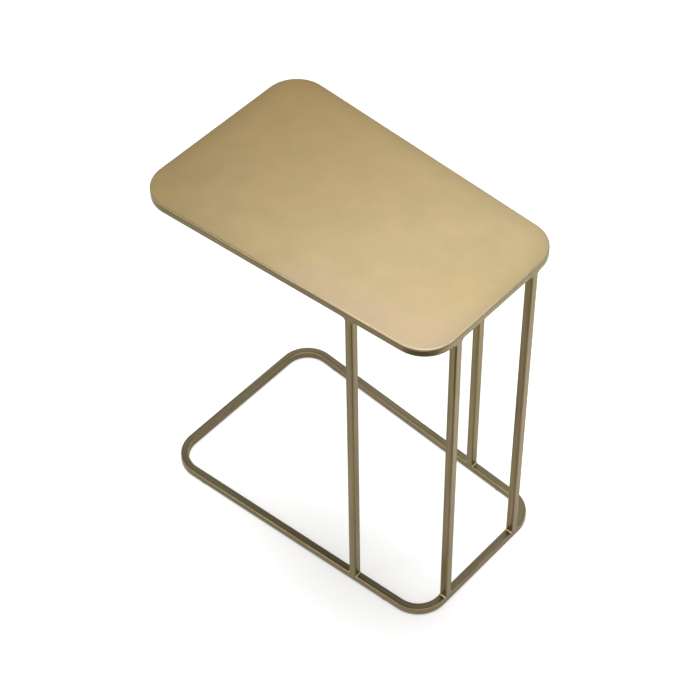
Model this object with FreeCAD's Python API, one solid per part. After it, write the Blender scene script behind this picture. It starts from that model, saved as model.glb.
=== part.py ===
import FreeCAD, Part
import math
import os

# A C-shaped sofa side table, welded up from sheet and one size of square tube.
# Millimetres. +X runs to the narrow end with the legs, -Y to the front, +Z up.
# The origin is on the floor, in the middle of the outline's box.

# Outline, shared by the top and the base
table_length = 485.0
wide_end_width = 314.0
narrow_end_width = 264.0
table_height = 572.0
corner_radius = 48.0

# Top sheet
sheet_thickness = 2.0
sheet_upper_arris_radius = 1.0
sheet_lower_arris_chamfer = 0.3

# Square tube, the same stock in both loops and in the four legs
tube_size = 12.0
tube_wall = 1.2
tube_edge_radius = 2.0

# From the narrow end's face to the centre line of each side leg
side_leg_setback = 127.5

# Welds
top_weld_radius = 5.0
foot_weld_radius = 2.0
stitch_weld_length = 22.0
stitch_weld_size = 3.0
side_rail_stitch_shares = (0.08, 0.36, 0.64, 0.92)
end_rail_stitch_shares = (0.2, 0.8)

# Holes in the loops' walls, inside each leg, that drain the plating bath
vent_diameter = 5.0

# Push-in floor glides
glide_head_diameter = 10.0
glide_head_height = 1.5
glide_head_chamfer = 0.5
glide_stem_diameter = 5.0
glide_stem_length = 6.0
glide_barb_height = 0.3
glide_barb_length = 2.4
glide_hole_clearance = 0.1
glide_end_distance = 72.0

cut_overrun = 1.0

half_length = table_length / 2
half_tube = tube_size / 2
taper = math.atan((wide_end_width - narrow_end_width) / 2 / table_length)
base_bottom = glide_head_height
base_top = base_bottom + tube_size
sheet_bottom = table_height - sheet_thickness
frame_bottom = sheet_bottom - tube_size
side_leg_x = half_length - side_leg_setback

up = FreeCAD.Vector(0, 0, 1)
front, back = -1, 1
wide_end, narrow_end = -1, 1


def half_width_at(x):
    """Distance from the centre plane to the outline's slanted side at x."""
    middle = (wide_end_width + narrow_end_width) / 4
    return middle - math.tan(taper) * x


def outline_corner(end, side, inset):
    """Sharp corner of the outline after all its sides move in by inset."""
    x = end * (half_length - inset)
    y = side * (half_width_at(x) - inset / math.cos(taper))
    return FreeCAD.Vector(x, y, 0)


def outline_wire(inset, height):
    """The rounded, tapered outline, moved in by inset, as a wire at a height."""
    order = ((wide_end, front), (narrow_end, front), (narrow_end, back), (wide_end, back))
    corners = [outline_corner(end, side, inset) for end, side in order]
    radius = corner_radius - inset
    bends = []
    for index, corner in enumerate(corners):
        before = (corners[index - 1] - corner).normalize()
        after = (corners[(index + 1) % len(corners)] - corner).normalize()
        half_angle = before.getAngle(after) / 2
        inward = (before + after).normalize()
        centre = corner + inward * (radius / math.sin(half_angle))
        reach = radius / math.tan(half_angle)
        bends.append((corner + before * reach, centre - inward * radius, corner + after * reach))
    edges = []
    for index, (start, middle, end) in enumerate(bends):
        edges.append(Part.Arc(start, middle, end).toShape())
        edges.append(Part.LineSegment(end, bends[(index + 1) % len(bends)][0]).toShape())
    wire = Part.Wire(edges)
    wire.translate(up * height)
    return wire


def plate(inset, bottom, thickness):
    """The outline as a plate."""
    return Part.Face(outline_wire(inset, bottom)).extrude(up * thickness)


def level_edges(shape, height):
    """The shape's edges that lie level at a height."""
    def lies_there(edge):
        box = edge.BoundBox
        return math.isclose(box.ZMin, height, abs_tol=1e-6) and math.isclose(box.ZMax, height, abs_tol=1e-6)
    return [edge for edge in shape.Edges if lies_there(edge)]


def loop_bar(bottom):
    """A bent square bar along the outline, solid, with the tube's rounded edges."""
    ring = plate(0, bottom, tube_size).cut(plate(tube_size, bottom, tube_size))
    edges = level_edges(ring, bottom) + level_edges(ring, bottom + tube_size)
    return ring.makeFillet(tube_edge_radius, edges)


def loop_bore(bottom):
    """The bore of the bent tube."""
    bore_bottom = bottom + tube_wall
    bore_size = tube_size - 2 * tube_wall
    outer = plate(tube_wall, bore_bottom, bore_size)
    return outer.cut(plate(tube_size - tube_wall, bore_bottom, bore_size))


def square_bar(inset, bottom, length):
    """An upright square bar about the Z axis, the tube's size less an inset all round."""
    side = tube_size - 2 * inset
    corner = FreeCAD.Vector(-side / 2, -side / 2, bottom)
    return Part.makeBox(side, side, length, corner)


def leg_bar(bottom, length):
    """A leg's outside, with rounded edges."""
    bar = square_bar(0, bottom, length)
    uprights = [edge for edge in bar.Edges if edge.BoundBox.ZLength > length / 2]
    return bar.makeFillet(tube_edge_radius, uprights)


def bend_start():
    """Distance from the centre plane to where the narrow end's bends begin."""
    corner_angle = math.pi / 2 + taper
    return narrow_end_width / 2 - corner_radius / math.tan(corner_angle / 2)


def rail_place(x, side):
    """Placement on a side rail's centre line at x, with its own X along the rail."""
    y = side * (half_width_at(x) - half_tube / math.cos(taper))
    turn = FreeCAD.Rotation(up, math.degrees(-side * taper))
    return FreeCAD.Placement(FreeCAD.Vector(x, y, 0), turn)


def end_rail_place(end, y):
    """Placement on an end rail's centre line at y, with its own X along the rail."""
    turn = FreeCAD.Rotation(up, math.degrees(math.pi / 2))
    return FreeCAD.Placement(FreeCAD.Vector(end * (half_length - half_tube), y, 0), turn)


def leg_places():
    """Each leg's name and place. An end leg's top weld ends where the rail's bend begins."""
    end_leg_y = bend_start() - top_weld_radius - half_tube
    return {
        "front_side": rail_place(side_leg_x, front),
        "back_side": rail_place(side_leg_x, back),
        "front_end": end_rail_place(narrow_end, front * end_leg_y),
        "back_end": end_rail_place(narrow_end, back * end_leg_y),
    }


def placed(shape, place):
    """A moved copy of the shape."""
    copy = shape.copy()
    copy.Placement = place.multiply(copy.Placement)
    return copy


def weld_blank(radius, joint_height, rail_side):
    """Block about the leg's axis with a hollow curve on each side, from leg to rail.

    Its faces are flush with the tubes' and its hollow edges are rounded as theirs are.
    rail_side is 1 where the rail lies above the joint and -1 where it lies below.
    """
    reach = half_tube + radius
    diagonal = radius * (1 - math.sqrt(0.5))

    def point(along, away):
        return FreeCAD.Vector(along, -half_tube, joint_height + rail_side * away)

    left_bow = Part.Arc(
        point(-reach, 0), point(-half_tube - diagonal, -diagonal), point(-half_tube, -radius))
    right_bow = Part.Arc(
        point(half_tube, -radius), point(half_tube + diagonal, -diagonal), point(reach, 0))
    outline = Part.Wire([
        left_bow.toShape(),
        Part.LineSegment(point(-half_tube, -radius), point(half_tube, -radius)).toShape(),
        right_bow.toShape(),
        Part.LineSegment(point(reach, 0), point(reach, half_tube)).toShape(),
        Part.LineSegment(point(reach, half_tube), point(-reach, half_tube)).toShape(),
        Part.LineSegment(point(-reach, half_tube), point(-reach, 0)).toShape(),
    ])
    block = Part.Face(outline).extrude(FreeCAD.Vector(0, tube_size, 0))
    bows = [edge for edge in block.Edges if edge.Curve.TypeId == "Part::GeomCircle"]
    return block.makeFillet(tube_edge_radius, bows)


def weld_collar(blank, place, leg_outside, rail_outside):
    """What the weld fills between leg and rail, ground flush with both tubes."""
    return placed(blank, place).cut(leg_outside).cut(rail_outside)


def drilled(shape, places, hole):
    """The shape with a copy of the hole cut at each place."""
    for place in places:
        shape = shape.cut(placed(hole, place))
    return shape


def wall_hole(diameter, wall_bottom):
    """An upright hole through a tube wall."""
    start = FreeCAD.Vector(0, 0, wall_bottom - cut_overrun)
    return Part.makeCylinder(diameter / 2, tube_wall + 2 * cut_overrun, start)


def stitch_weld(rail_outside, place, side):
    """One weld bead in the inner corner under the sheet; side points at the centre plane."""
    corner_depth = tube_edge_radius + stitch_weld_size
    start = -stitch_weld_length / 2
    inner_face = side * half_tube
    points = [
        FreeCAD.Vector(start, inner_face - side * tube_edge_radius, sheet_bottom),
        FreeCAD.Vector(start, inner_face + side * stitch_weld_size, sheet_bottom),
        FreeCAD.Vector(start, inner_face, sheet_bottom - corner_depth),
        FreeCAD.Vector(start, inner_face - side * tube_edge_radius, sheet_bottom - corner_depth),
    ]
    section = Part.Face(Part.makePolygon(points + points[:1]))
    bead = section.extrude(FreeCAD.Vector(stitch_weld_length, 0, 0))
    return placed(bead, place).cut(rail_outside)


def stitch_welds(rail_outside):
    """All the beads that hold the sheet on its frame, spaced along the straight rails."""
    beads = []
    side_run = table_length - 2 * corner_radius - stitch_weld_length
    for side in (front, back):
        for share in side_rail_stitch_shares:
            place = rail_place(side_run * (share - 0.5), side)
            beads.append(stitch_weld(rail_outside, place, -side))
    for end in (wide_end, narrow_end):
        end_run = 2 * (abs(outline_corner(end, back, 0).y) - corner_radius) - stitch_weld_length
        for share in end_rail_stitch_shares:
            place = end_rail_place(end, end_run * (share - 0.5))
            beads.append(stitch_weld(rail_outside, place, end))
    return Part.Compound(beads)


def glide():
    """A push-in glide: a round foot, a stem and a barb that grips above the tube wall."""
    head = glide_head_diameter / 2
    stem = glide_stem_diameter / 2
    barb = stem + glide_hole_clearance + glide_barb_height
    wall_top = base_bottom + tube_wall + glide_hole_clearance
    tip = base_bottom + glide_stem_length

    def point(radius, height):
        return FreeCAD.Vector(radius, 0, height)

    corners = [
        point(0, 0), point(head - glide_head_chamfer, 0), point(head, glide_head_chamfer),
        point(head, base_bottom), point(stem, base_bottom), point(stem, wall_top),
        point(barb, wall_top), point(stem, wall_top + glide_barb_length), point(stem, tip),
        point(0, tip),
    ]
    section = Part.Face(Part.makePolygon(corners + corners[:1]))
    return section.revolve(point(0, 0), up, 360)


def glide_places():
    """Each glide's name and place, under the side rails near both ends."""
    glide_x = half_length - glide_end_distance
    return {
        "front_wide_end": rail_place(wide_end * glide_x, front),
        "front_narrow_end": rail_place(narrow_end * glide_x, front),
        "back_narrow_end": rail_place(narrow_end * glide_x, back),
        "back_wide_end": rail_place(wide_end * glide_x, back),
    }


def top_sheet():
    """The tabletop sheet, with a rounded upper arris and a chamfered lower one."""
    sheet = plate(0, sheet_bottom, sheet_thickness)
    sheet = sheet.makeFillet(sheet_upper_arris_radius, level_edges(sheet, table_height))
    return sheet.makeChamfer(sheet_lower_arris_chamfer, level_edges(sheet, sheet_bottom))


def table_parts():
    """Every sub-part's solid, by name."""
    legs = leg_places()
    glides = glide_places()
    frame_outside = loop_bar(frame_bottom)
    base_outside = loop_bar(base_bottom)
    leg_length = frame_bottom - base_top
    leg_outside = leg_bar(base_top, leg_length)
    leg_bore = square_bar(tube_wall, base_top - cut_overrun, leg_length + 2 * cut_overrun)

    parts = {"top_sheet": top_sheet(), "top_sheet_stitch_welds": stitch_welds(frame_outside)}
    frame = frame_outside.cut(loop_bore(frame_bottom))
    parts["top_frame_tube"] = drilled(frame, legs.values(), wall_hole(vent_diameter, frame_bottom))

    base = base_outside.cut(loop_bore(base_bottom))
    base = drilled(base, legs.values(), wall_hole(vent_diameter, base_top - tube_wall))
    glide_hole = wall_hole(glide_stem_diameter + 2 * glide_hole_clearance, base_bottom)
    parts["base_loop_tube"] = drilled(base, glides.values(), glide_hole)

    top_blank = weld_blank(top_weld_radius, frame_bottom, 1)
    foot_blank = weld_blank(foot_weld_radius, base_top, -1)
    for name, place in legs.items():
        outside = placed(leg_outside, place)
        parts[name + "_leg"] = placed(leg_outside.cut(leg_bore), place)
        parts[name + "_leg_top_weld"] = weld_collar(top_blank, place, outside, frame_outside)
        parts[name + "_leg_foot_weld"] = weld_collar(foot_blank, place, outside, base_outside)

    for name, place in glides.items():
        parts[name + "_glide"] = placed(glide(), place)
    return parts


def main():
    os.makedirs("parts", exist_ok=True)
    for name, shape in table_parts().items():
        print(name, "solids", len(shape.Solids), "volume", round(shape.Volume, 1), "valid", shape.isValid())
        shape.exportStep("parts/" + name + ".step")


main()
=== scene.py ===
"""Looks, light and camera for a sofa side table in aged brass.

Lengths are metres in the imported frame: +X runs to the narrow end with the legs,
-Y to the front and +Z up, with the floor at zero.
"""

import logging
import math
from collections.abc import Callable, Iterable, Mapping, Sequence
from dataclasses import dataclass
from enum import Enum
from functools import partial
from typing import NamedTuple

import bmesh
import bpy
from bpy.types import ID, Material, Mesh, Node, NodeOutputs, NodeSocket, NodeTree, Object
from mathutils import Matrix, Vector


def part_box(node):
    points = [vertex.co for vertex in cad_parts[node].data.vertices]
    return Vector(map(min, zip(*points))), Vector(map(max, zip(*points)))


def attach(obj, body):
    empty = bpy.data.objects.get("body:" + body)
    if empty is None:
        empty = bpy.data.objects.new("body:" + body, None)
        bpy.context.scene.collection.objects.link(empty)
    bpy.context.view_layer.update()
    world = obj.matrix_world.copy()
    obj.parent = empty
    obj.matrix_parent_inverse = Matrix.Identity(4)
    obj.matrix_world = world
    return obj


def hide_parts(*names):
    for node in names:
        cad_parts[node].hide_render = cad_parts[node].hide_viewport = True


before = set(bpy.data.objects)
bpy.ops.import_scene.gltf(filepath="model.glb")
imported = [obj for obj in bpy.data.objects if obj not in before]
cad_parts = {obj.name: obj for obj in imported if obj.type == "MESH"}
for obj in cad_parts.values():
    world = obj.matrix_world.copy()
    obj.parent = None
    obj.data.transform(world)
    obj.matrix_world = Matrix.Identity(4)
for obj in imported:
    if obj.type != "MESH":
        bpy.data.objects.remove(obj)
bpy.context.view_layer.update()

log = logging.getLogger("side_table")

MM = 0.001
QUARTER_TURN = math.pi / 2
UP = Vector((0.0, 0.0, 1.0))
ROOT = "root"
NOISE_MIDDLE = 0.5
DROP_SUBDIVISIONS = 2
# Makes the flats decide how a rounded edge is shaded.
FLAT_WEIGHT = 100

Triple = tuple[float, float, float]
Value = Node | NodeSocket | float | int | str | tuple[float, ...]
Inputs = Mapping[str, Value] | Sequence[Value]
AddNode = Callable[..., Node]


class Layer(Enum):
    """The mesh attributes that the finishes read."""

    SECTION = "section"
    PATH = "path"
    # Where the sheet's arris is worn pale with painted highlight, and gets painted shade.
    ARRIS = "arris"
    # Share of painted shade along the sheet's border.
    BORDER = "border"


class Slot(Enum):
    """The record's material slots."""

    SHEET = "sheet_brass"
    TUBE = "tube_brass"
    WELD = "weld_brass"
    GLIDE = "glide_nylon"


class Side(Enum):
    """Front or back half of the table, with its sign on the Y axis."""

    FRONT = -1
    BACK = 1


class Ramp(NamedTuple):
    """How one measure turns into another, in the order of a Map Range node's inputs.

    Attributes:
        start: Where the change begins.
        stop: Where it ends.
        first: What comes out up to the start.
        last: What comes out from the stop on.
    """

    start: float
    stop: float
    first: float = 0.0
    last: float = 1.0


class Grain(NamedTuple):
    """The grain of a noise.

    Attributes:
        width: Its size.
        detail: How many finer noises lie on it.
        roughness: How strong they are.
    """

    width: float
    detail: float = 2.0
    roughness: float = 0.5

    def at(self, place: Value) -> dict[str, Value]:
        """Names the numbers as a Noise Texture node's inputs.

        Args:
            place: Where the noise is looked up.

        Returns:
            The inputs, by name.
        """
        return {
            "Vector": place, "Scale": 1 / self.width,
            "Detail": self.detail, "Roughness": self.roughness,
        }


def linear(code: str) -> tuple[float, float, float, float]:
    """Turns an sRGB hex colour into a linear one.

    Args:
        code: A hash and six hex digits.

    Returns:
        Red, green, blue and an alpha of one.
    """
    channels = [int(code[start:start + 2], 16) / 255 for start in (1, 3, 5)]
    red, green, blue = (
        value / 12.92 if value <= 0.04045 else ((value + 0.055) / 1.055) ** 2.4
        for value in channels
    )
    return red, green, blue, 1.0


def add_node(tree: NodeTree, kind: str, inputs: Inputs = (), **settings: object) -> Node:
    """Adds one node to a tree, with its settings and links.

    Args:
        tree: The tree that gets the node.
        kind: The type of node.
        inputs: The inputs that the settings leave in use, by name or in their order. Each is
            a plain value, a socket to link, or a node whose first output in use is linked.
        **settings: The node's own properties.

    Returns:
        The new node.
    """
    node = tree.nodes.new(kind)
    for name, setting in settings.items():
        setattr(node, name, setting)
    names = [socket.name if socket.enabled else "" for socket in node.inputs]
    if isinstance(inputs, Mapping):
        pairs = [(names.index(name), value) for name, value in inputs.items()]
    else:
        used = [place for place, name in enumerate(names) if name]
        pairs = list(zip(used, inputs))
    for place, value in pairs:
        if isinstance(value, Node):
            value = next(socket for socket in value.outputs if socket.enabled)
        if isinstance(value, NodeSocket):
            tree.links.new(value, node.inputs[place])
        else:
            node.inputs[place].default_value = value
    return node


def add_object(name: str, data: ID) -> Object:
    """Adds an object to the scene.

    Args:
        name: Its name.
        data: Its mesh, lamp or camera.

    Returns:
        The new object.
    """
    item = bpy.data.objects.new(name, data)
    bpy.context.scene.collection.objects.link(item)
    return item


# Shapes


@dataclass(frozen=True)
class TaperedOutline:
    """The plan shape that the top and both loops share: a taper with rounded corners.

    Attributes:
        length: From the wide end's face to the narrow end's.
        wide_end: Width at the open end, between the sides drawn on to sharp corners.
        narrow_end: Width at the end with the legs, measured the same way.
        corner_radius: Outer radius of the four corners.
    """

    length: float
    wide_end: float = 314 * MM
    narrow_end: float = 264 * MM
    corner_radius: float = 48 * MM

    @property
    def taper(self) -> float:
        """Angle of each long side to the middle line, in radians."""
        return math.atan((self.wide_end - self.narrow_end) / 2 / self.length)

    def half_width(self, x: float) -> float:
        """Distance from the middle line to the slanted side at x."""
        return (self.wide_end + self.narrow_end) / 4 - math.tan(self.taper) * x

    def corners(self) -> list[tuple[Vector, float, float]]:
        """Finds the corner arcs, anticlockwise from the front of the narrow end.

        Returns:
            Each arc's centre, start angle and end angle.
        """
        stops = (
            (1, -1, self.taper - QUARTER_TURN, 0.0),
            (1, 1, 0.0, QUARTER_TURN - self.taper),
            (-1, 1, QUARTER_TURN - self.taper, math.pi),
            (-1, -1, math.pi, 3 * QUARTER_TURN + self.taper),
        )
        arcs = []
        for end, side, start, stop in stops:
            x = end * self.length / 2
            middle = (start + stop) / 2
            inward = -Vector((math.cos(middle), math.sin(middle), 0.0))
            reach = self.corner_radius / math.cos((stop - start) / 2)
            sharp = Vector((x, side * self.half_width(x), 0.0))
            arcs.append((sharp + inward * reach, start, stop))
        return arcs

    def ring(self, inset: float, height: float, steps: int) -> list[Vector]:
        """Walks once round the outline.

        Args:
            inset: How far inside the outline the ring lies.
            height: The ring's height.
            steps: Straight pieces in each corner's arc.

        Returns:
            The ring's points, anticlockwise.
        """
        radius = self.corner_radius - inset
        points = []
        for centre, start, stop in self.corners():
            for step in range(steps + 1):
                angle = start + (stop - start) * step / steps
                points.append(centre + Vector((
                    math.cos(angle) * radius, math.sin(angle) * radius, height)))
        return points

    def inset_widths(self, inset: float) -> tuple[float, float, float]:
        """Measures the sharp-cornered taper that lies inside this one.

        Args:
            inset: The distance between the two, square to every side.

        Returns:
            The inner taper's length, wide end and narrow end.
        """
        middle = self.length / 2 - inset
        slant = inset / math.cos(self.taper)
        return (
            2 * middle,
            2 * (self.half_width(-middle) - slant),
            2 * (self.half_width(middle) - slant),
        )

    def side_place(self, x: float, side: Side, inset: float, height: float) -> Matrix:
        """Places something on a line along a slanted side, its own X running with the side."""
        y = side.value * (self.half_width(x) - inset / math.cos(self.taper))
        return Matrix.Translation((x, y, height)) @ Matrix.Rotation(-side.value * self.taper, 4, UP)

    def end_place(self, end: int, y: float, inset: float, height: float) -> Matrix:
        """Places something on a line along an end, its own X running with the end."""
        x = end * (self.length / 2 - inset)
        return Matrix.Translation((x, y, height)) @ Matrix.Rotation(QUARTER_TURN, 4, UP)


def ring_mesh(name: str, rings: Sequence[Sequence[Vector]]) -> Object:
    """Joins rings of points into a closed skin, with a cap on the first and the last.

    Args:
        name: The new object's name.
        rings: Rings of equal length, in order.

    Returns:
        An object whose vertices follow the rings.
    """
    size = len(rings[0])
    faces = [tuple(range(size)), tuple(range(size * (len(rings) - 1), size * len(rings)))]
    for row in range(len(rings) - 1):
        for column in range(size):
            following = (column + 1) % size
            faces.append((
                row * size + column, row * size + following,
                (row + 1) * size + following, (row + 1) * size + column,
            ))
    mesh = bpy.data.meshes.new(name)
    mesh.from_pydata([point for ring in rings for point in ring], [], faces)
    skin = bmesh.new()
    skin.from_mesh(mesh)
    bmesh.ops.recalc_face_normals(skin, faces=skin.faces)
    skin.to_mesh(mesh)
    skin.free()
    mesh.shade_smooth()
    return add_object(name, mesh)


def write_layer(piece: Object, layer: Layer, values: Sequence[float | Vector]) -> None:
    """Stores one value for each vertex.

    Args:
        piece: The object whose mesh gets the attribute.
        layer: Which attribute.
        values: Numbers or vectors, in the order of the vertices.
    """
    if isinstance(values[0], Vector):
        attribute = piece.data.attributes.new(layer.value, "FLOAT_VECTOR", "POINT")
        attribute.data.foreach_set("vector", [part for value in values for part in value])
    else:
        attribute = piece.data.attributes.new(layer.value, "FLOAT", "POINT")
        attribute.data.foreach_set("value", list(values))


def settle(piece: Object) -> Object:
    """Turns a piece's modifiers into a plain mesh, its flats shaded flat and its edges soft.

    Args:
        piece: An object with or without modifiers.

    Returns:
        The same object, without modifiers.
    """
    flats = piece.modifiers.new("flats", "WEIGHTED_NORMAL")
    flats.mode = "FACE_AREA"
    flats.weight = FLAT_WEIGHT
    depsgraph = bpy.context.evaluated_depsgraph_get()
    mesh = bpy.data.meshes.new_from_object(
        piece.evaluated_get(depsgraph), preserve_all_data_layers=True, depsgraph=depsgraph)
    piece.modifiers.clear()
    piece.data = mesh
    mesh.name = piece.name
    return piece


def grow(
    name: str, tree: NodeTree, sizes: Mapping[str, float | int | Material], base: Mesh | None = None
) -> Object:
    """Builds a piece with a geometry tree.

    Args:
        name: The piece's name.
        tree: The tree that makes its shape.
        sizes: Values for the tree's inputs, by name.
        base: The mesh that the tree starts from, where it needs one.

    Returns:
        The piece as a plain mesh.
    """
    piece = add_object(name, base or bpy.data.meshes.new(name))
    shape = piece.modifiers.new("shape", "NODES")
    shape.node_group = tree
    for item in tree.interface.items_tree:
        if item.item_type == "SOCKET" and item.in_out == "INPUT" and item.name in sizes:
            shape[item.identifier] = sizes[item.name]
    return settle(piece)


def new_shape_tree(name: str, inputs: Mapping[str, str]) -> tuple[NodeTree, AddNode, NodeOutputs]:
    """Starts a geometry tree.

    Args:
        name: The tree's name.
        inputs: The type of each named input, such as Float or Material.

    Returns:
        The tree, what adds a node to it, and its inputs' sockets.
    """
    tree = bpy.data.node_groups.new(name, "GeometryNodeTree")
    for label, kind in inputs.items():
        tree.interface.new_socket(label, in_out="INPUT", socket_type="NodeSocket" + kind)
    tree.interface.new_socket("Geometry", in_out="OUTPUT", socket_type="NodeSocketGeometry")
    add = partial(add_node, tree)
    return tree, add, add("NodeGroupInput").outputs


def end_shape_tree(add: AddNode, shape: Value, finish: NodeSocket) -> None:
    """Ends a geometry tree: smooth, real geometry with its material.

    Args:
        add: What adds a node to the tree.
        shape: What the tree has built.
        finish: The input that names the material.
    """
    smooth = add("GeometryNodeSetShadeSmooth", {"Geometry": shape})
    real = add("GeometryNodeRealizeInstances", {"Geometry": smooth})
    dressed = add("GeometryNodeSetMaterial", {"Geometry": real, "Material": finish})
    add("NodeGroupOutput", {"Geometry": dressed})


def bent_tube_tree() -> NodeTree:
    """Sweeps the square tube's rounded section round the tapered outline.

    Returns:
        A tree that also keeps, on every point, its place in the section and on the path.
    """
    tree, add, given = new_shape_tree("Bent tube loop", {
        "Length": "Float", "Wide End": "Float", "Narrow End": "Float", "Bend Radius": "Float",
        "Bend Steps": "Int", "Height": "Float", "Tube Size": "Float", "Edge Radius": "Float",
        "Edge Steps": "Int", "Finish": "Material",
    })
    position = add("GeometryNodeInputPosition")
    taper = add("GeometryNodeCurvePrimitiveQuadrilateral", {
        "Height": given["Length"], "Bottom Width": given["Wide End"],
        "Top Width": given["Narrow End"], "Offset": 0.0,
    }, mode="TRAPEZOID")
    lift = add("ShaderNodeCombineXYZ", {"Z": given["Height"]})
    turned = add("GeometryNodeTransform", {
        "Geometry": taper, "Translation": lift, "Rotation": (0.0, 0.0, -QUARTER_TURN),
    })
    bends = add("GeometryNodeFilletCurve", {
        "Curve": turned, "Radius": given["Bend Radius"], "Count": given["Bend Steps"],
    }, mode="POLY")
    level = add("GeometryNodeSetCurveNormal", {"Curve": bends}, mode="Z_UP")
    square = add("GeometryNodeCurvePrimitiveQuadrilateral", {
        "Width": given["Tube Size"], "Height": given["Tube Size"],
    }, mode="RECTANGLE")
    rounded = add("GeometryNodeFilletCurve", {
        "Curve": square, "Radius": given["Edge Radius"], "Count": given["Edge Steps"],
    }, mode="POLY")
    path, section = (
        add("GeometryNodeStoreNamedAttribute", {
            "Geometry": curve, "Name": layer.value, "Value": position,
        }, data_type="FLOAT_VECTOR", domain="POINT")
        for curve, layer in ((level, Layer.PATH), (rounded, Layer.SECTION))
    )
    tube = add("GeometryNodeCurveToMesh", {"Curve": path, "Profile Curve": section})
    end_shape_tree(add, tube, given["Finish"])
    return tree


def weld_bead_tree() -> NodeTree:
    """Lays overlapping drops along every edge of the base mesh, as a welder's torch does.

    Returns:
        A tree whose drops vary a little in size, from a fixed seed.
    """
    tree, add, given = new_shape_tree("Weld beads", {
        "Geometry": "Geometry", "Drop Radius": "Float", "Drop Pitch": "Float",
        "Unevenness": "Float", "Seed": "Int", "Finish": "Material",
    })
    seams = add("GeometryNodeMeshToCurve", {"Mesh": given["Geometry"]})
    places = add("GeometryNodeCurveToPoints", {
        "Curve": seams, "Length": given["Drop Pitch"],
    }, mode="LENGTH")
    drop = add("GeometryNodeMeshIcoSphere", {
        "Radius": given["Drop Radius"], "Subdivisions": DROP_SUBDIVISIONS,
    })
    smallest = add("ShaderNodeMath", (1.0, given["Unevenness"]), operation="SUBTRACT")
    spread = add("FunctionNodeRandomValue", {
        "Min": smallest, "Max": 1.0, "Seed": given["Seed"],
    }, data_type="FLOAT")
    drops = add("GeometryNodeInstanceOnPoints", {
        "Points": places, "Instance": drop.outputs["Mesh"],
        "Rotation": places.outputs["Rotation"], "Scale": spread,
    })
    end_shape_tree(add, drops, given["Finish"])
    return tree


# Finishes


def new_finish(name: str) -> tuple[Material, AddNode, NodeSocket]:
    """Starts a material with an empty node tree.

    Args:
        name: The material's name.

    Returns:
        The material, what adds a node to it, and the object's own coordinates.
    """
    material = bpy.data.materials.new(name)
    material.use_nodes = True
    material.node_tree.nodes.clear()
    add = partial(add_node, material.node_tree)
    return material, add, add("ShaderNodeTexCoord").outputs["Object"]


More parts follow.
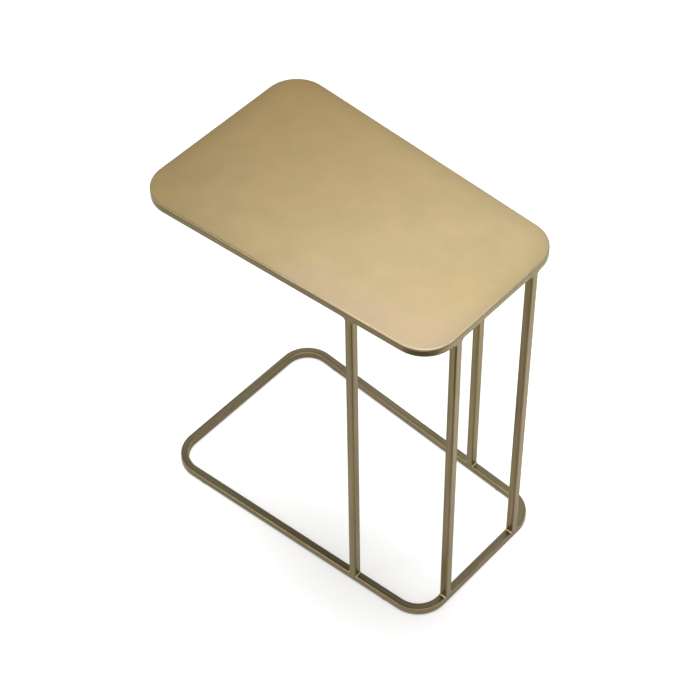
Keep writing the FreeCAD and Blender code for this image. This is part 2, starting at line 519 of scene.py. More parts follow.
@dataclass(frozen=True)
class TintedSheetBrass:
    """Brass-plated sheet, tinted by hand and sealed with satin lacquer.

    The colour is painted darker towards the wide back corner and paler towards the
    narrow front one as painted light, with painted shade along the border and the arris.
    The rag leaves a faint grain along the table and a rosy cloud over the front corner of
    the narrow end. There the arris is worn pale and smooth by hands, with painted highlight.
    """

    # deep and pale are painted light: the sheet is painted darker towards the wide back corner and
    # paler towards the narrow front one. The rose pair follows the same painted gradient.
    deep: str = "#B09254"
    pale: str = "#CFB885"
    rose_deep: str = "#AF925C"
    rose_pale: str = "#CFB791"
    # Colour of the arris round the front corner of the narrow end: partly worn pale, partly painted
    # highlight.
    worn: str = "#EFDDB8"
    painted_light_axis: Triple = (1.0, -0.58, 0.0)
    painted_light_ramp: Ramp = Ramp(-300 * MM, 90 * MM)
    clouds: Grain = Grain(110 * MM, 4.0, 0.58)
    rose_axis: Triple = (0.35, -1.0, 0.0)
    rose: Ramp = Ramp(100 * MM, 180 * MM)
    rose_waver: float = 200 * MM
    mottle: Grain = Grain(44 * MM, 4.0, 0.6)
    mottle_shade: Ramp = Ramp(0.36, 0.64, 0.95, 1.035)
    border_painted_shade: float = 0.85
    # The painted border shade thins out along the front edge.
    border_shade_share: Ramp = Ramp(-90 * MM, -130 * MM, 1.0, 0.3)
    # Painted shade on the arris away from that corner.
    arris_painted_shade: float = 0.74
    highlight_axis: Triple = (1.0, -1.0, 0.0)
    wear_and_highlight_ramp: Ramp = Ramp(120 * MM, 300 * MM, 0.05, 1.0)
    arris_wear_and_highlight_patches: Ramp = Ramp(0.3, 0.6, 0.55, 1.0)
    # The real grain is about 0.2 mm wide, drawn coarser so that it shows.
    grain_size: Triple = (60 * MM, 1.1 * MM, 1.1 * MM)
    grain_height: float = 0.004 * MM
    roughness: Ramp = Ramp(0.3, 0.7, 0.38, 0.45)
    burnish: float = 0.32
    lacquer_roughness: float = 0.30

    def build(self) -> Material:
        """Builds the material.

        Returns:
            The new material.
        """
        material, add, place = new_finish("Tinted brass sheet, satin lacquer, painted light and shade")
        clouds = add("ShaderNodeTexNoise", self.clouds.at(place))
        mottle = add("ShaderNodeTexNoise", self.mottle.at(place))
        across = add("ShaderNodeSeparateXYZ", (place,)).outputs["Y"]
        painted_light_reach, rosing, highlight_reach = (
            add("ShaderNodeVectorMath", (place, axis), operation="DOT_PRODUCT")
            for axis in (self.painted_light_axis, self.rose_axis, self.highlight_axis)
        )
        # Painted light: darker towards the wide back corner, paler towards the narrow front one.
        painted_light_ramp = add("ShaderNodeMapRange", (painted_light_reach, *self.painted_light_ramp))
        painted_light_tint, rosy = (
            add("ShaderNodeMix", (painted_light_ramp, linear(dark), linear(light)), data_type="RGBA")
            for dark, light in ((self.deep, self.pale), (self.rose_deep, self.rose_pale))
        )
        centred = add("ShaderNodeMath", (clouds, NOISE_MIDDLE), operation="SUBTRACT")
        wavering = add("ShaderNodeMath", (centred, self.rose_waver, rosing),
                       operation="MULTIPLY_ADD")
        hue = add("ShaderNodeMapRange", (wavering, *self.rose), interpolation_type="SMOOTHSTEP")
        tint = add("ShaderNodeMix", (hue, painted_light_tint, rosy), data_type="RGBA")
        arris, border = (
            add("ShaderNodeAttribute", attribute_name=layer.value).outputs["Fac"]
            for layer in (Layer.ARRIS, Layer.BORDER)
        )
        # Painted shade along the border, thinned towards the front edge.
        kept = add("ShaderNodeMapRange", (across, *self.border_shade_share))
        border_shade_amount = add("ShaderNodeMath", (border, kept), operation="MULTIPLY")
        border_shaded = add("ShaderNodeMapRange", (border_shade_amount, 0.0, 1.0, 1.0, self.border_painted_shade))
        # Worn pale with painted highlight towards the front corner of the narrow end; painted shade
        # on the arris elsewhere.
        wear_and_highlight_share = add("ShaderNodeMapRange", (highlight_reach, *self.wear_and_highlight_ramp))
        arris_shade_level = add("ShaderNodeMapRange", (wear_and_highlight_share, 0.0, 1.0, self.arris_painted_shade, 1.0))
        painted_edge_shade = add("ShaderNodeMapRange", (arris, 0.0, 1.0, 1.0, arris_shade_level))
        shade = add("ShaderNodeMapRange", (mottle, *self.mottle_shade))
        for layer in (border_shaded, painted_edge_shade):
            shade = add("ShaderNodeMath", (shade, layer), operation="MULTIPLY")
        toned = add("ShaderNodeVectorMath", (tint, shade), operation="SCALE")
        patches = add("ShaderNodeMapRange", (clouds, *self.arris_wear_and_highlight_patches))
        wear_and_highlight = arris
        for layer in (patches, wear_and_highlight_share):
            wear_and_highlight = add("ShaderNodeMath", (wear_and_highlight, layer), operation="MULTIPLY")
        colour = add("ShaderNodeMix", (wear_and_highlight, toned, linear(self.worn)), data_type="RGBA")
        gloss = add("ShaderNodeMapRange", (mottle, *self.roughness))
        burnished = add("ShaderNodeMix", (wear_and_highlight, gloss, self.burnish), data_type="FLOAT")
        stretched = add("ShaderNodeMapping", {
            "Vector": place, "Scale": tuple(1 / size for size in self.grain_size),
        })
        grain = add("ShaderNodeTexNoise", {"Vector": stretched, "Scale": 1.0})
        relief = add("ShaderNodeBump", {"Height": grain, "Distance": self.grain_height})
        brass = add("ShaderNodeBsdfPrincipled", {
            "Base Color": colour, "Metallic": 1.0, "Roughness": burnished,
            "Normal": relief, "Coat Weight": 1.0, "Coat Roughness": self.lacquer_roughness,
        })
        add("ShaderNodeOutputMaterial", {"Surface": brass})
        return material


@dataclass(frozen=True)
class AgedTubeBrass:
    """Drawn square steel tube, brass-plated, then darkened and rubbed back.

    The patina runs in long streaks of olive and pinkish brown. Painted shade darkens it
    along the rounded edges and on upper faces, most round a spot on the base's front rail.
    Fine dust greys the upper faces. Only edges that face up are worn pale, partly as
    painted highlight.
    """

    olive: str = "#958A55"
    brown: str = "#9A825E"
    hue: Ramp = Ramp(0.85, 1.15)
    # Colour of edges that face up: partly worn, partly painted highlight.
    worn: str = "#BCAC86"
    dust: str = "#948C74"
    dust_share: float = 0.6
    # How squarely a face looks up before it counts as an upper face, and when it fully does.
    upper: tuple[float, float] = (0.72, 0.97)
    # Painted shade on upper faces, darkest round this spot on the base's front rail.
    painted_shade_spot: Triple = (70 * MM, -135 * MM, 12 * MM)
    painted_shade_falloff: Ramp = Ramp(0.0, 330 * MM, 0.38, 0.92)
    # Painted shade along the rounded edges.
    edge_painted_shade: Ramp = Ramp(2.2 * MM, 4.6 * MM, 1.0, 0.76)
    edge_wear_and_highlight: Ramp = Ramp(3.6 * MM, 5.2 * MM)
    wear_and_highlight_patches: Ramp = Ramp(0.35, 0.6, 0.9, 0.45)
    upward_highlight: Ramp = Ramp(0.15, 0.55)
    drift: Grain = Grain(70 * MM, 3.0, 0.6)
    # Real draw lines are finer than a tenth of a millimetre, drawn coarser so that they show.
    line_size: tuple[float, float] = (0.9 * MM, 60 * MM)
    line_shade: Ramp = Ramp(0.3, 0.7, 0.88, 1.1)
    line_height: float = 0.006 * MM
    streak_size: tuple[float, float] = (3.2 * MM, 130 * MM)
    streak_shade: Ramp = Ramp(0.35, 0.65, 0.82, 1.14)
    roughness: Ramp = Ramp(0.3, 0.7, 0.27, 0.37)
    lacquer: float = 0.3
    lacquer_roughness: float = 0.22

    def lengthwise(self, add: AddNode, width: float, length: float) -> Node:
        """Adds a noise that is drawn out along the tube, round its bends too.

        Args:
            add: What adds a node to the material.
            width: Size of its grain across the tube.
            length: Size of its grain along the tube.

        Returns:
            The noise, from zero to one.
        """
        parts = []
        for layer, size in ((Layer.SECTION, width), (Layer.PATH, length)):
            point = add("ShaderNodeAttribute", attribute_name=layer.value).outputs["Vector"]
            scaled = add("ShaderNodeVectorMath", (point, 1 / size), operation="SCALE")
            parts.append(add("ShaderNodeSeparateXYZ", (scaled,)).outputs)
        girth, run = parts
        where = add("ShaderNodeCombineXYZ", (girth["X"], girth["Y"], run["X"]))
        rest = add("ShaderNodeMath", (run["Y"], run["Z"]), operation="ADD")
        return add("ShaderNodeTexNoise", {"Vector": where, "W": rest, "Scale": 1.0},
                   noise_dimensions="4D")

    def build(self) -> Material:
        """Builds the material.

        Returns:
            The new material.
        """
        material, add, place = new_finish("Aged brass tube, rubbed edges")
        section = add("ShaderNodeAttribute", attribute_name=Layer.SECTION.value).outputs["Vector"]
        across = add("ShaderNodeVectorMath", (section,), operation="ABSOLUTE")
        sides = add("ShaderNodeSeparateXYZ", (across,)).outputs
        nearest = add("ShaderNodeMath", (sides["X"], sides["Y"]), operation="MINIMUM")
        normal = add("ShaderNodeNewGeometry").outputs["Normal"]
        facing = add("ShaderNodeSeparateXYZ", (normal,)).outputs["Z"]
        drift = add("ShaderNodeTexNoise", self.drift.at(place))
        lines = self.lengthwise(add, *self.line_size)
        streaks = self.lengthwise(add, *self.streak_size)
        blend = add("ShaderNodeMath", (drift, streaks), operation="ADD")
        hue = add("ShaderNodeMapRange", (blend, *self.hue), interpolation_type="SMOOTHSTEP")
        patina = add("ShaderNodeMix", (hue, linear(self.olive), linear(self.brown)),
                     data_type="RGBA")
        level = add("ShaderNodeMapRange", (facing, *self.upper, 0.0, self.dust_share))
        dusted = add("ShaderNodeMix", (level, patina, linear(self.dust)), data_type="RGBA")
        # Painted shade: upper faces darker, most round the spot on the front rail.
        away = add("ShaderNodeVectorMath", (place, self.painted_shade_spot), operation="DISTANCE")
        scuffed = add("ShaderNodeMapRange", (away, *self.painted_shade_falloff))
        upper_face_painted_shade = add("ShaderNodeMapRange", (facing, *self.upper, 1.0, scuffed))
        # Painted shade along the rounded edges, and the edge mask for pale worn edges with painted
        # highlight.
        painted_edge_shade, wear_and_highlight = (
            add("ShaderNodeMapRange", (nearest, *ramp), interpolation_type="SMOOTHSTEP")
            for ramp in (self.edge_painted_shade, self.edge_wear_and_highlight)
        )
        broad = add("ShaderNodeMapRange", (streaks, *self.streak_shade))
        depth = add("ShaderNodeMapRange", (lines, *self.line_shade))
        for layer in (broad, upper_face_painted_shade, painted_edge_shade):
            depth = add("ShaderNodeMath", (depth, layer), operation="MULTIPLY")
        toned = add("ShaderNodeVectorMath", (dusted, depth), operation="SCALE")
        # Edges that face up are worn pale, partly as painted highlight.
        patches = add("ShaderNodeMapRange", (drift, *self.wear_and_highlight_patches))
        facing_up_highlight = add("ShaderNodeMapRange", (facing, *self.upward_highlight))
        for layer in (patches, facing_up_highlight):
            wear_and_highlight = add("ShaderNodeMath", (wear_and_highlight, layer), operation="MULTIPLY")
        colour = add("ShaderNodeMix", (wear_and_highlight, toned, linear(self.worn)), data_type="RGBA")
        gloss = add("ShaderNodeMapRange", (lines, *self.roughness))
        relief = add("ShaderNodeBump", {"Height": lines, "Distance": self.line_height})
        brass = add("ShaderNodeBsdfPrincipled", {
            "Base Color": colour, "Metallic": 1.0, "Roughness": gloss,
            "Normal": relief, "Coat Weight": self.lacquer,
            "Coat Roughness": self.lacquer_roughness,
        })
        add("ShaderNodeOutputMaterial", {"Surface": brass})
        return material


@dataclass(frozen=True)
class WeldBrass:
    """Weld bead under brass plating, left rippled, straw-coloured where the heat has drawn.

    The beads at the feet are worn bright, partly as painted highlight, and show as short
    pale lines against the dark tube. The stitches under the sheet keep their patina.

    Attributes:
        name: The material's name.
        bright: Colour of the crests; on the feet's beads it is partly painted highlight.
        straw: Colour where the torch's heat has drawn.
        heat: Grain of the heat's patches.
        drawn: How the noise turns into the share of straw.
        roughness: Roughness of the plating on the bead.
    """

    name: str
    bright: str
    straw: str
    heat: Grain = Grain(3 * MM, 3.0)
    drawn: Ramp = Ramp(0.4, 0.75)
    roughness: float = 0.36

    def build(self) -> Material:
        """Builds the material.

        Returns:
            The new material.
        """
        material, add, place = new_finish(self.name)
        heat = add("ShaderNodeTexNoise", self.heat.at(place))
        drawn = add("ShaderNodeMapRange", (heat, *self.drawn))
        colour = add("ShaderNodeMix", (drawn, linear(self.bright), linear(self.straw)),
                     data_type="RGBA")
        brass = add("ShaderNodeBsdfPrincipled", {
            "Base Color": colour, "Metallic": 1.0, "Roughness": self.roughness,
        })
        add("ShaderNodeOutputMaterial", {"Surface": brass})
        return material


@dataclass(frozen=True)
class MouldedNylon:
    """Black nylon from an eroded mould: a fine matt grain that greys where it is walked on."""

    black: str = "#1D1B19"
    scuffed: str = "#3A3733"
    scuffs: Grain = Grain(4 * MM, 4.0)
    scuffing: Ramp = Ramp(0.5, 0.7)
    grain: Grain = Grain(0.6 * MM)
    grain_height: float = 0.02 * MM
    roughness: float = 0.55

    def build(self) -> Material:
        """Builds the material.

        Returns:
            The new material.
        """
        material, add, place = new_finish("Moulded black nylon, spark grain")
        grain = add("ShaderNodeTexNoise", self.grain.at(place))
        scuffs = add("ShaderNodeTexNoise", self.scuffs.at(place))
        worn = add("ShaderNodeMapRange", (scuffs, *self.scuffing))
        colour = add("ShaderNodeMix", (worn, linear(self.black), linear(self.scuffed)),
                     data_type="RGBA")
        relief = add("ShaderNodeBump", {"Height": grain, "Distance": self.grain_height})
        nylon = add("ShaderNodeBsdfPrincipled", {
            "Base Color": colour, "Roughness": self.roughness, "Normal": relief,
        })
        add("ShaderNodeOutputMaterial", {"Surface": nylon})
        return material


# The table's sub-assemblies


def hand_in(piece: Object, material: Material, nodes: Iterable[str] = ()) -> None:
    """Gives a piece its material and its place in the frame.

    Args:
        piece: The finished piece.
        material: Its finish.
        nodes: The frame's nodes that the piece stands for.
    """
    piece.data.materials.clear()
    piece.data.materials.append(material)
    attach(piece, ROOT)
    if nodes:
        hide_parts(*nodes)
    log.info("%s: %d faces, %s", piece.name, len(piece.data.polygons), material.name)


@dataclass(frozen=True)
class Tabletop:
    """The tapered sheet on top, with a rounded upper arris.

    Attributes:
        outline: The plan shape.
        bottom: Height of the underside.
        top: Height of the upper face.
        arris_radius: Rounding of the upper edge.
        lower_chamfer: Deburring of the lower edge.
        worn_and_highlit_width: How far the arris's worn pale and painted highlight spread in on the
            top.
        side_wear_and_highlight: Share of that on the upright side.
        side_wear_and_highlight: Share of that wear on the upright side.
        border_width: How far in the painted border shade reaches from the edge.
        border_steps: Rings that carry this.
        corner_steps: Straight pieces in each corner's arc.
        arris_steps: Straight pieces across the rounded arris.
    """

    outline: TaperedOutline
    bottom: float
    top: float
    arris_radius: float = 1.0 * MM
    lower_chamfer: float = 0.3 * MM
    worn_and_highlit_width: float = 0.8 * MM
    side_wear_and_highlight: float = 0.05
    border_width: float = 34.0 * MM
    border_steps: int = 6
    corner_steps: int = 24
    arris_steps: int = 6

    def profile(self) -> list[tuple[float, float, float, float]]:
        """Draws the edge from the underside to the upper face.

        Returns:
            Inset, height, worn pale with painted highlight, and painted border shade, for each
            point.
        """
        points = [
            (self.lower_chamfer, self.bottom, 0.0, 0.0),
            (0.0, self.bottom + self.lower_chamfer, 0.0, 0.0),
            (0.0, self.top - self.arris_radius, self.side_wear_and_highlight, 0.0),
        ]
        for step in range(1, self.arris_steps + 1):
            angle = QUARTER_TURN * step / self.arris_steps
            inset = self.arris_radius * (1 - math.cos(angle))
            drop = self.arris_radius * (1 - math.sin(angle))
            points.append((inset, self.top - drop, 1.0, 1.0))
        start = self.arris_radius + self.worn_and_highlit_width
        for step in range(self.border_steps + 1):
            share = step / self.border_steps
            inset = start + (self.border_width - start) * share
            points.append((inset, self.top, 0.0, (1 - share) ** 2))
        return points

    def build(self, brass: Material) -> None:
        """Builds the sheet and dresses it.

        Args:
            brass: The sheet's finish.
        """
        # The arris layer carries worn pale with painted highlight and the arris's painted shade;
        # the border layer carries painted border shade.
        rings, wear_and_highlight, border = [], [], []
        for inset, height, rubbed, dark in self.profile():
            rings.append(self.outline.ring(inset, height, self.corner_steps))
            wear_and_highlight.extend([rubbed] * len(rings[-1]))
            border.extend([dark] * len(rings[-1]))
        sheet = ring_mesh("tabletop", rings)
        write_layer(sheet, Layer.ARRIS, wear_and_highlight)
        write_layer(sheet, Layer.BORDER, border)
        hand_in(settle(sheet), brass, ["top_sheet"])


@dataclass(frozen=True)
class SquareTube:
    """The tube that the loops and the legs are made of.

    Attributes:
        size: Its width.
        edge_radius: Rounding of its edges.
        edge_steps: Straight pieces in each rounded edge.
    """

    size: float
    edge_radius: float = 2.0 * MM
    edge_steps: int = 5


@dataclass(frozen=True)
class TubeLoops:
    """The two closed loops of bent square tube: the top's frame and the base.

    Attributes:
        outline: The plan shape of both.
        tube: What they are bent from.
        heights: The underside of each loop, by name.
        bend_steps: Straight pieces in each bend.
    """

    outline: TaperedOutline
    tube: SquareTube
    heights: Mapping[str, float]
    bend_steps: int = 20

    def build(self, brass: Material) -> None:
        """Sweeps both loops and dresses them.

        Args:
            brass: The tubes' finish.
        """
        tree = bent_tube_tree()
        middle = self.tube.size / 2
        length, wide_end, narrow_end = self.outline.inset_widths(middle)
        for node, bottom in self.heights.items():
            loop = grow(node + "_sweep", tree, {
                "Length": length, "Wide End": wide_end, "Narrow End": narrow_end,
                "Bend Radius": self.outline.corner_radius - middle, "Bend Steps": self.bend_steps,
                "Height": bottom + middle, "Tube Size": self.tube.size,
                "Edge Radius": self.tube.edge_radius, "Edge Steps": self.tube.edge_steps,
                "Finish": brass,
            })
            hand_in(loop, brass, [node])


@dataclass(frozen=True)
class Uprights:
    """The four legs, each blended into both loops by ground welds.

    Attributes:
        places: Each leg's axis, by name, with its own X along the rail.
        foot: Height of the base loop's upper face.
        head: Height of the frame loop's underside.
        tube: What they are cut from.
        foot_weld: Hollow radius of the weld at the foot.
        head_weld: Hollow radius of the weld at the head.
        hidden_depth: How far the ends reach into the loops.
        weld_steps: Straight pieces in each weld's hollow.
    """

    places: Mapping[str, Matrix]
    foot: float
    head: float
    tube: SquareTube
    foot_weld: float = 2.0 * MM
    head_weld: float = 5.0 * MM
    hidden_depth: float = 1.5 * MM
    weld_steps: int = 12

    def half_section(self) -> list[tuple[float, float]]:
        """Draws the side of the tube that faces along the rail.

        Returns:
            Place across the rail, and depth below that side's face.
        """
        radius, steps = self.tube.edge_radius, self.tube.edge_steps
        flat = self.tube.size / 2 - radius
        rounding = []
        for step in range(steps + 1):
            angle = QUARTER_TURN * step / steps
            rounding.append((-flat - radius * math.cos(angle), radius * (1 - math.sin(angle))))
        return rounding + [(-across, depth) for across, depth in reversed(rounding)]

    def ring(
        self, joint: float, radius: float, angle: float, away: int
    ) -> tuple[list[Vector], list[Vector]]:
        """Walks once round the leg where its side has turned by an angle towards the rail.

        Args:
            joint: Height where leg and rail meet.
            radius: Hollow radius of the weld.
            angle: From zero, upright, to a quarter turn, flat against the rail.
            away: 1 if the rail lies above, -1 if below.

        Returns:
            The ring's points, and their places in the tube's section.
        """
        half = self.tube.size / 2
        points, section = [], []
        for way in (1, -1):
            for across, depth in self.half_section():
                along = half + radius - (radius + depth) * math.cos(angle)
                rise = (radius + depth) * math.sin(angle) - radius
                points.append(Vector((way * along, way * across, joint + away * rise)))
                section.append(Vector((way * (half - depth), way * across, 0.0)))
        return points, section

    def rings(self) -> list[tuple[list[Vector], list[Vector]]]:
        """Stacks the rings of one leg, from inside the base loop to inside the frame loop.

        Returns:
            Each ring's points, and their places in the tube's section.
        """
        turns = [QUARTER_TURN * step / self.weld_steps for step in range(self.weld_steps + 1)]
        stack = [self.ring(self.foot, self.foot_weld, angle, -1) for angle in reversed(turns)]
        stack += [self.ring(self.head, self.head_weld, angle, 1) for angle in turns]
        for end, sink in ((0, -self.hidden_depth), (-1, self.hidden_depth)):
            points, section = stack[end]
            shrink = 1 - self.tube.edge_radius / self.tube.size
            sunk = [Vector((point.x, point.y * shrink, point.z + sink)) for point in points]
            stack.insert(len(stack) if end else 0, (sunk, section))
        return stack

    def build(self, brass: Material) -> None:
        """Builds the legs and dresses them.

        Args:
            brass: The tubes' finish.
        """
        for name, place in self.places.items():
            stack = self.rings()
            skin = [[place @ point for point in ring] for ring, _ in stack]
            leg = ring_mesh(name + "_upright", skin)
            axis = place.translation
            write_layer(leg, Layer.SECTION, [spot for _, section in stack for spot in section])
            write_layer(leg, Layer.PATH, [
                Vector((axis.x, axis.y, point.z)) for ring, _ in stack for point in ring])
            nodes = [name + ending for ending in ("_leg", "_leg_top_weld", "_leg_foot_weld")]
            hand_in(settle(leg), brass, nodes)


@dataclass(frozen=True)
class WeldBeads:
    """The beads at the legs' feet and the stitches that hold the sheet on its frame.

    Attributes:
        outline: The plan shape.
        leg_places: Each leg's axis, by name.
        foot: Height of the base loop's upper face.
        sheet_bottom: Height of the sheet's underside.
        tube: What the legs and the frame are made of.
        foot_drop: Radius of the drops at the feet.
        foot_stand_off: How far their middle stays clear of leg and loop.
        foot_length: Length of the bead at each side of a foot.
        stitch_drop: Radius of the stitches' drops.
        stitch_depth: How far their middle lies below the sheet.
        stitch_length: Length of each stitch.
        side_shares: Where the stitches lie along a side's straight run.
        end_shares: The same for an end's.
        weld_gap: What a run keeps clear of the bends, at both ends together.
        drop_pitch: Distance between drops.
        unevenness: How much smaller the smallest drop is.
        seed: What the drops' sizes are drawn from.
    """

    outline: TaperedOutline
    leg_places: Mapping[str, Matrix]
    foot: float
    sheet_bottom: float
    tube: SquareTube
    foot_drop: float = 1.6 * MM
    foot_stand_off: float = 0.35 * MM
    foot_length: float = 8.6 * MM
    stitch_drop: float = 2.3 * MM
    stitch_depth: float = 1.4 * MM
    stitch_length: float = 20.0 * MM
    side_shares: tuple[float, ...] = (0.08, 0.36, 0.64, 0.92)
    end_shares: tuple[float, ...] = (0.2, 0.8)
    weld_gap: float = 22.0 * MM
    drop_pitch: float = 0.95 * MM
    unevenness: float = 0.12
    seed: int = 7

    def seam_mesh(self, name: str, seams: Sequence[tuple[Vector, Vector]]) -> Mesh:
        """Draws each seam as one edge of a mesh.

        Args:
            name: The mesh's name.
            seams: The ends of each seam.

        Returns:
            The new mesh.
        """
        mesh = bpy.data.meshes.new(name)
        mesh.from_pydata(
            [point for seam in seams for point in seam],
            [(2 * index, 2 * index + 1) for index in range(len(seams))], [])
        return mesh

    def foot_seams(self) -> list[tuple[Vector, Vector]]:
        """Finds the seams at both sides of every leg's foot.

        Returns:
            The ends of each seam.
        """
        seams = []
        reach = self.tube.size / 2 + self.foot_stand_off
        half = self.foot_length / 2
        height = self.foot + self.foot_stand_off
        for place in self.leg_places.values():
            for way in (-1, 1):
                seams.append(tuple(
                    place @ Vector((way * reach, across, height)) for across in (-half, half)))
        return seams

    def stitch_seams(self) -> list[tuple[Vector, Vector]]:
        """Finds the stitches in the inner corner between frame and sheet.

        Returns:
            The ends of each stitch.
        """
        height = self.sheet_bottom - self.stitch_depth
        half = Vector((self.stitch_length / 2, 0.0, 0.0))
        radius = self.outline.corner_radius
        side_run = self.outline.length - 2 * radius - self.weld_gap
        places = [
            self.outline.side_place(side_run * (share - 0.5), side, self.tube.size, height)
            for side in Side for share in self.side_shares
        ]
        for end in (-1, 1):
            width = 2 * self.outline.half_width(end * self.outline.length / 2)
            end_run = width - 2 * radius - self.weld_gap
            places += [
                self.outline.end_place(end, end_run * (share - 0.5), self.tube.size, height)
                for share in self.end_shares
            ]
        return [(place @ -half, place @ half) for place in places]

    def build(self, rubbed: Material, dull: Material) -> None:
        """Lays both sets of beads and dresses them.

        Args:
            rubbed: The bright finish of the feet's beads, worn bright and partly painted highlight.
            dull: The finish of the stitches.
        """
        tree = weld_bead_tree()
        sets = (
            ("foot_weld_beads", self.foot_seams(), self.foot_drop, rubbed, []),
            ("stitch_weld_beads", self.stitch_seams(), self.stitch_drop, dull,
             ["top_sheet_stitch_welds"]),
        )
        for name, seams, drop, brass, nodes in sets:
            beads = grow(name, tree, {
                "Drop Radius": drop, "Drop Pitch": self.drop_pitch,
                "Unevenness": self.unevenness, "Seed": self.seed, "Finish": brass,
            }, self.seam_mesh(name, seams))
            hand_in(beads, brass, nodes)


@dataclass(frozen=True)
class FloorGlides:
    """The four push-in glides, whose shape in the frame is already right."""

    names: tuple[str, ...] = (
        "front_wide_end_glide", "front_narrow_end_glide",
        "back_narrow_end_glide", "back_wide_end_glide",
    )

    def dress(self, nylon: Material) -> None:
        """Dresses the frame's own glides.

        Args:
            nylon: The glides' finish.
        """
        for name in self.names:
            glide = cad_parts[name]
            glide.data.materials.clear()
            glide.data.materials.append(nylon)
            log.info("%s: %s", name, nylon.name)


class SideTable:
    """The whole table, put together from its sub-assemblies."""

    def leg_places(self, outline: TaperedOutline) -> dict[str, Matrix]:
        """Reads each leg's axis from the frame.

        Args:
            outline: The plan shape, for the turn of the side rails.

        Returns:
            Each leg's place at floor height, with its own X along the rail.
        """
        turns = {
            "front_side": outline.taper, "back_side": -outline.taper,
            "front_end": QUARTER_TURN, "back_end": QUARTER_TURN,
        }
        places = {}
        for name, turn in turns.items():
            low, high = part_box(name + "_leg")
            middle = (low + high) / 2
            foot = Matrix.Translation((middle.x, middle.y, 0.0))
            places[name] = foot @ Matrix.Rotation(turn, 4, UP)
        return places

    def build(self) -> None:
        """Builds every sub-assembly."""
        sheet_low, sheet_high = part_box("top_sheet")
        frame_low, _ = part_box("top_frame_tube")
        base_low, base_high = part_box("base_loop_tube")
        outline = TaperedOutline(sheet_high.x - sheet_low.x)
        tube = SquareTube(base_high.z - base_low.z)
        legs = self.leg_places(outline)
        aged = AgedTubeBrass().build()
        Tabletop(outline, sheet_low.z, sheet_high.z).build(TintedSheetBrass().build())
        heights = {"top_frame_tube": frame_low.z, "base_loop_tube": base_low.z}
        TubeLoops(outline, tube, heights).build(aged)
        Uprights(legs, base_high.z, frame_low.z, tube).build(aged)
        WeldBeads(outline, legs, base_high.z, sheet_low.z, tube).build(
            # The feet's beads are worn bright, partly as painted highlight.
            WeldBrass("Plated weld bead, rubbed bright, painted highlight", "#ECDFBE", "#CBB587").build(),
            WeldBrass("Plated weld bead, dull", "#A99870", "#86754F").build())
        FloorGlides().dress(MouldedNylon().build())


# Studio


@dataclass(frozen=True)
class SoftBox:
    """A square studio lamp behind a diffuser.

    Attributes:
        name: The lamp's name.
        centre: Where it hangs.
        aim: What it points at.
        width: Its side.
        power: In watts.
        spread: How widely its grid lets it shine, in degrees.
    """

    name: str
    centre: Triple
    aim: Triple
    width: float
    power: float
    spread: float = 180.0

    def hang(self) -> None:
        """Hangs the lamp."""
        lamp = bpy.data.lights.new(self.name, "AREA")
        lamp.shape = "SQUARE"
        lamp.size = self.width
        lamp.energy = self.power
        lamp.spread = math.radians(self.spread)
        light = add_object(self.name, lamp)
        light.location = self.centre
        beam = Vector(self.aim) - Vector(self.centre)
        light.rotation_euler = beam.to_track_quat("-Z", "Y").to_euler()


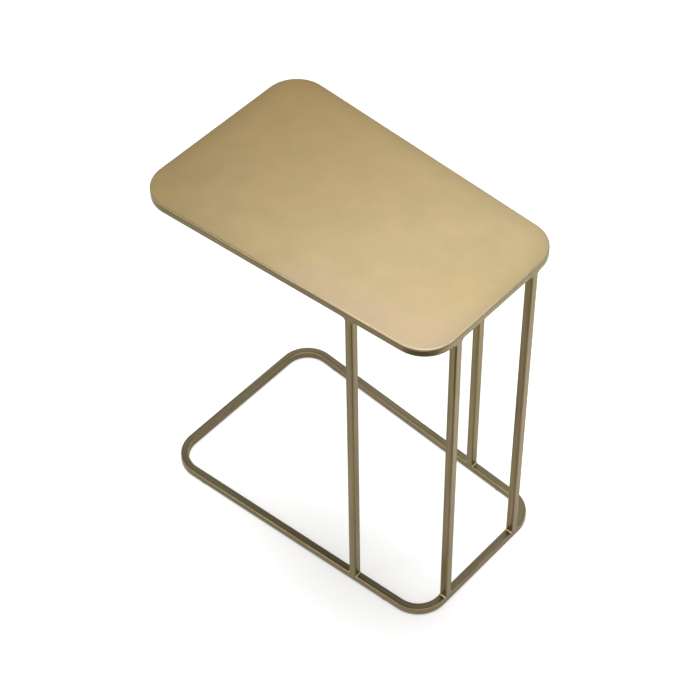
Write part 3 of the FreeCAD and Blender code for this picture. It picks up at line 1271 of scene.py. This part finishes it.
@dataclass(frozen=True)
class Studio:
    """A white paper sweep lit from overhead and behind, in a room that is dark on the near side.

    Attributes:
        floor_half: Half the floor's side.
        paper: The sweep's colour as light bounces off it.
        glow: The share of the white, seen directly, that a shadow doesn't take away, over the
            distance from the dim spot; it is lower near there, which paints a shadow.
        painted_shadow_spot: Middle of a painted shadow on the paper, beside the base's front rail.
        painted_shadow_shape: How the distance from there counts along and across the rail.
        shade: The share that a shadow takes away.
        mirrored_glow: As glow, but as the brass mirrors the sweep.
        mirrored_shade: As shade, but as the brass mirrors the sweep.
        near: Direction over the floor to the dark side of the room.
        near_light: How the light on the sweep falls off that way.
        contact: How near a body must be to paint contact shade on the paper under it.
        contact_samples: Rays that look for such a body.
        ceiling: Brightness of the room over the height on the unit sphere.
        far_side: Direction over the floor to the side where the sweep ends lower.
        far_light: Brightness of the sweep's upper part towards that side.
        sweep_edge: Heights on the unit sphere between the lower part of the sweep and the upper.
        lamps: The lamps.
    """

    floor_half: float = 6.0
    paper: str = "#F2F1EE"
    glow: Ramp = Ramp(0.02, 0.20, 0.56, 0.85)
    painted_shadow_spot: Triple = (0.12, -0.13, 0.0)
    painted_shadow_shape: Triple = (0.5, 1.0, 1.0)
    shade: float = 0.62
    mirrored_glow: float = 0.09
    mirrored_shade: float = 0.97
    near: Triple = (0.52, -0.854, 0.0)
    near_light: Ramp = Ramp(0.40, 0.63, 1.0, 0.20)
    contact: float = 2.5 * MM
    contact_samples: int = 8
    ceiling: Ramp = Ramp(0.42, 0.74, 1.0, 0.23)
    far_side: Triple = (0.69, 0.72, 0.0)
    far_light: Ramp = Ramp(-0.3, 0.7, 1.0, 0.45)
    sweep_edge: Ramp = Ramp(0.05, 0.35)
    lamps: tuple[SoftBox, ...] = (
        SoftBox("overhead softbox", (0.0, 0.23, 2.1), (0.0, 0.0, 0.5), 1.15, 6.8),
        SoftBox("back softbox", (-0.62, 1.03, 2.0), (0.0, 0.0, 0.5), 1.3, 3.3),
        SoftBox("left softbox", (-0.66, -1.62, 1.45), (0.0, 0.0, 0.3), 0.45, 2.8),
        SoftBox("near softbox", (1.0, -0.7, 1.9), (0.2, 0.0, 0.0), 1.2, 4.8),
        SoftBox("paper light", (0.95, 0.5, 1.4), (0.95, 0.5, 0.0), 0.7, 2.2, 75.0),
    )

    def ray_kinds(self, add: AddNode) -> tuple[NodeSocket, Node]:
        """Tells the rays that should find white from those that carry light.

        Args:
            add: What adds a node to the material.

        Returns:
            One for camera rays, and one for camera, glossy and transmission rays.
        """
        ray = add("ShaderNodeLightPath").outputs
        camera = ray["Is Camera Ray"]
        seen = camera
        for kind in ("Is Glossy Ray", "Is Transmission Ray"):
            seen = add("ShaderNodeMath", (seen, ray[kind]), operation="MAXIMUM")
        return camera, seen

    def floor_finish(self) -> Material:
        """Builds the paper floor: white where it is seen, plain paper where it bounces light.

        Returns:
            The new material.
        """
        material, add, place = new_finish("White paper sweep, painted shadow")
        camera, seen = self.ray_kinds(add)
        reach = add("ShaderNodeVectorMath", (place, self.near), operation="DOT_PRODUCT")
        lit = add("ShaderNodeMapRange", (reach, *self.near_light), interpolation_type="SMOOTHSTEP")
        distant = add("ShaderNodeMix", (camera, lit, 1.0), data_type="FLOAT")
        # Painted contact shade: ambient occlusion dims the paper's glow and colour next to the
        # table.
        painted_contact_shade = add("ShaderNodeAmbientOcclusion", {"Distance": self.contact},
                      samples=self.contact_samples)
        falloff = add("ShaderNodeMath", (distant, painted_contact_shade.outputs["AO"]), operation="MULTIPLY")
        # Painted shadow: the glow is lower round the spot beside the front rail.
        centred = add("ShaderNodeVectorMath", (place, self.painted_shadow_spot), operation="SUBTRACT")
        squashed = add("ShaderNodeVectorMath", (centred, self.painted_shadow_shape), operation="MULTIPLY")
        away = add("ShaderNodeVectorMath", (squashed,), operation="LENGTH")
        lifted = add("ShaderNodeMapRange", (away, *self.glow), interpolation_type="SMOOTHSTEP")
        parts = []
        for mirrored, direct in ((self.mirrored_glow, lifted), (self.mirrored_shade, self.shade)):
            share = add("ShaderNodeMix", (camera, mirrored, direct), data_type="FLOAT")
            parts.append(add("ShaderNodeMath", (share, falloff), operation="MULTIPLY"))
        strength, tone = parts
        glow = add("ShaderNodeEmission", {"Strength": strength})
        surface = add("ShaderNodeBsdfDiffuse", {"Color": tone})
        white = add("ShaderNodeAddShader", (glow, surface))
        bounce = add("ShaderNodeBsdfDiffuse", {"Color": linear(self.paper)})
        mixed = add("ShaderNodeMixShader", (seen, bounce, white))
        under = add("ShaderNodeNewGeometry").outputs["Backfacing"]
        clear = add("ShaderNodeBsdfTransparent")
        one_sided = add("ShaderNodeMixShader", (under, mixed, clear))
        add("ShaderNodeOutputMaterial", {"Surface": one_sided})
        return material

    def lay_floor(self) -> None:
        """Lays the floor at height zero."""
        half = self.floor_half
        corners = [(-half, -half, 0), (half, -half, 0), (half, half, 0), (-half, half, 0)]
        mesh = bpy.data.meshes.new("floor")
        mesh.from_pydata(corners, [], [(0, 1, 2, 3)])
        mesh.materials.append(self.floor_finish())
        floor = add_object("floor", mesh)

    def paint_room(self) -> None:
        """Paints the world: white round the horizon, darker overhead, plain white to the camera."""
        world = bpy.data.worlds.new("studio room")
        world.use_nodes = True
        world.node_tree.nodes.clear()
        add = partial(add_node, world.node_tree)
        ray = add("ShaderNodeTexCoord").outputs["Generated"]
        rise = add("ShaderNodeSeparateXYZ", (ray,)).outputs["Z"]
        aside = add("ShaderNodeVectorMath", (ray, self.far_side), operation="DOT_PRODUCT")
        room, dimmed, above = (
            add("ShaderNodeMapRange", (measure, *ramp), interpolation_type="SMOOTHSTEP")
            for measure, ramp in (
                (rise, self.ceiling), (aside, self.far_light), (rise, self.sweep_edge))
        )
        share = add("ShaderNodeMix", (above, 1.0, dimmed), data_type="FLOAT")
        level = add("ShaderNodeMath", (room, share), operation="MULTIPLY")
        seen = add("ShaderNodeLightPath").outputs["Is Camera Ray"]
        strength = add("ShaderNodeMix", (seen, level, 1.0), data_type="FLOAT")
        light = add("ShaderNodeBackground", {"Color": linear("#FFFFFF"), "Strength": strength})
        add("ShaderNodeOutputWorld", {"Surface": light})
        bpy.context.scene.world = world

    def build(self) -> None:
        """Builds the floor, the room and the lamps."""
        self.lay_floor()
        self.paint_room()
        for lamp in self.lamps:
            lamp.hang()
        bpy.context.scene.view_settings.view_transform = "Standard"


@dataclass(frozen=True)
class PhotoCamera:
    """The photograph's viewpoint, found by fitting the table's straight edges.

    Attributes:
        azimuth: Turn round the table in degrees, from the front towards the narrow end.
        elevation: Angle above the floor, in degrees.
        roll: Tilt of the camera about its line of sight, in degrees.
        distance: From the origin along the line of sight.
        aside: How far the camera stands to its own right of that line.
        above: How far it stands above that line.
        focal_pixels: Focal length in pixels of the photograph.
        frame_pixels: Width and height of the photograph.
        sensor: Width of the sensor in millimetres.
        clip_end: How far the camera sees.
    """

    azimuth: float = 42.07
    elevation: float = 48.72
    roll: float = -0.95
    distance: float = 3.0715
    aside: float = -0.0086
    above: float = 0.1965
    focal_pixels: float = 2046.6
    frame_pixels: int = 700
    sensor: float = 36.0
    clip_end: float = 100.0

    def stand(self) -> None:
        """Stands the camera up and makes it the scene's own."""
        turn, lift = math.radians(self.azimuth), math.radians(self.elevation)
        right = Vector((math.cos(turn), math.sin(turn), 0.0))
        back = Vector((
            math.sin(turn) * math.cos(lift), -math.cos(turn) * math.cos(lift), math.sin(lift)))
        axes = Matrix((right, back.cross(right), back)).transposed()
        axes = axes @ Matrix.Rotation(math.radians(self.roll), 3, "Z")
        data = bpy.data.cameras.new("photo camera")
        data.sensor_width = self.sensor
        data.lens = self.focal_pixels / self.frame_pixels * self.sensor
        data.clip_end = self.clip_end
        camera = add_object("photo camera", data)
        camera.matrix_world = Matrix.Translation(
            axes @ Vector((self.aside, self.above, self.distance))) @ axes.to_4x4()
        bpy.context.scene.camera = camera


def main() -> None:
    """Builds the table, the studio and the camera."""
    logging.basicConfig(level=logging.INFO, format="%(name)s: %(message)s")
    SideTable().build()
    Studio().build()
    PhotoCamera().stand()


if __name__ == "__main__":
    main()
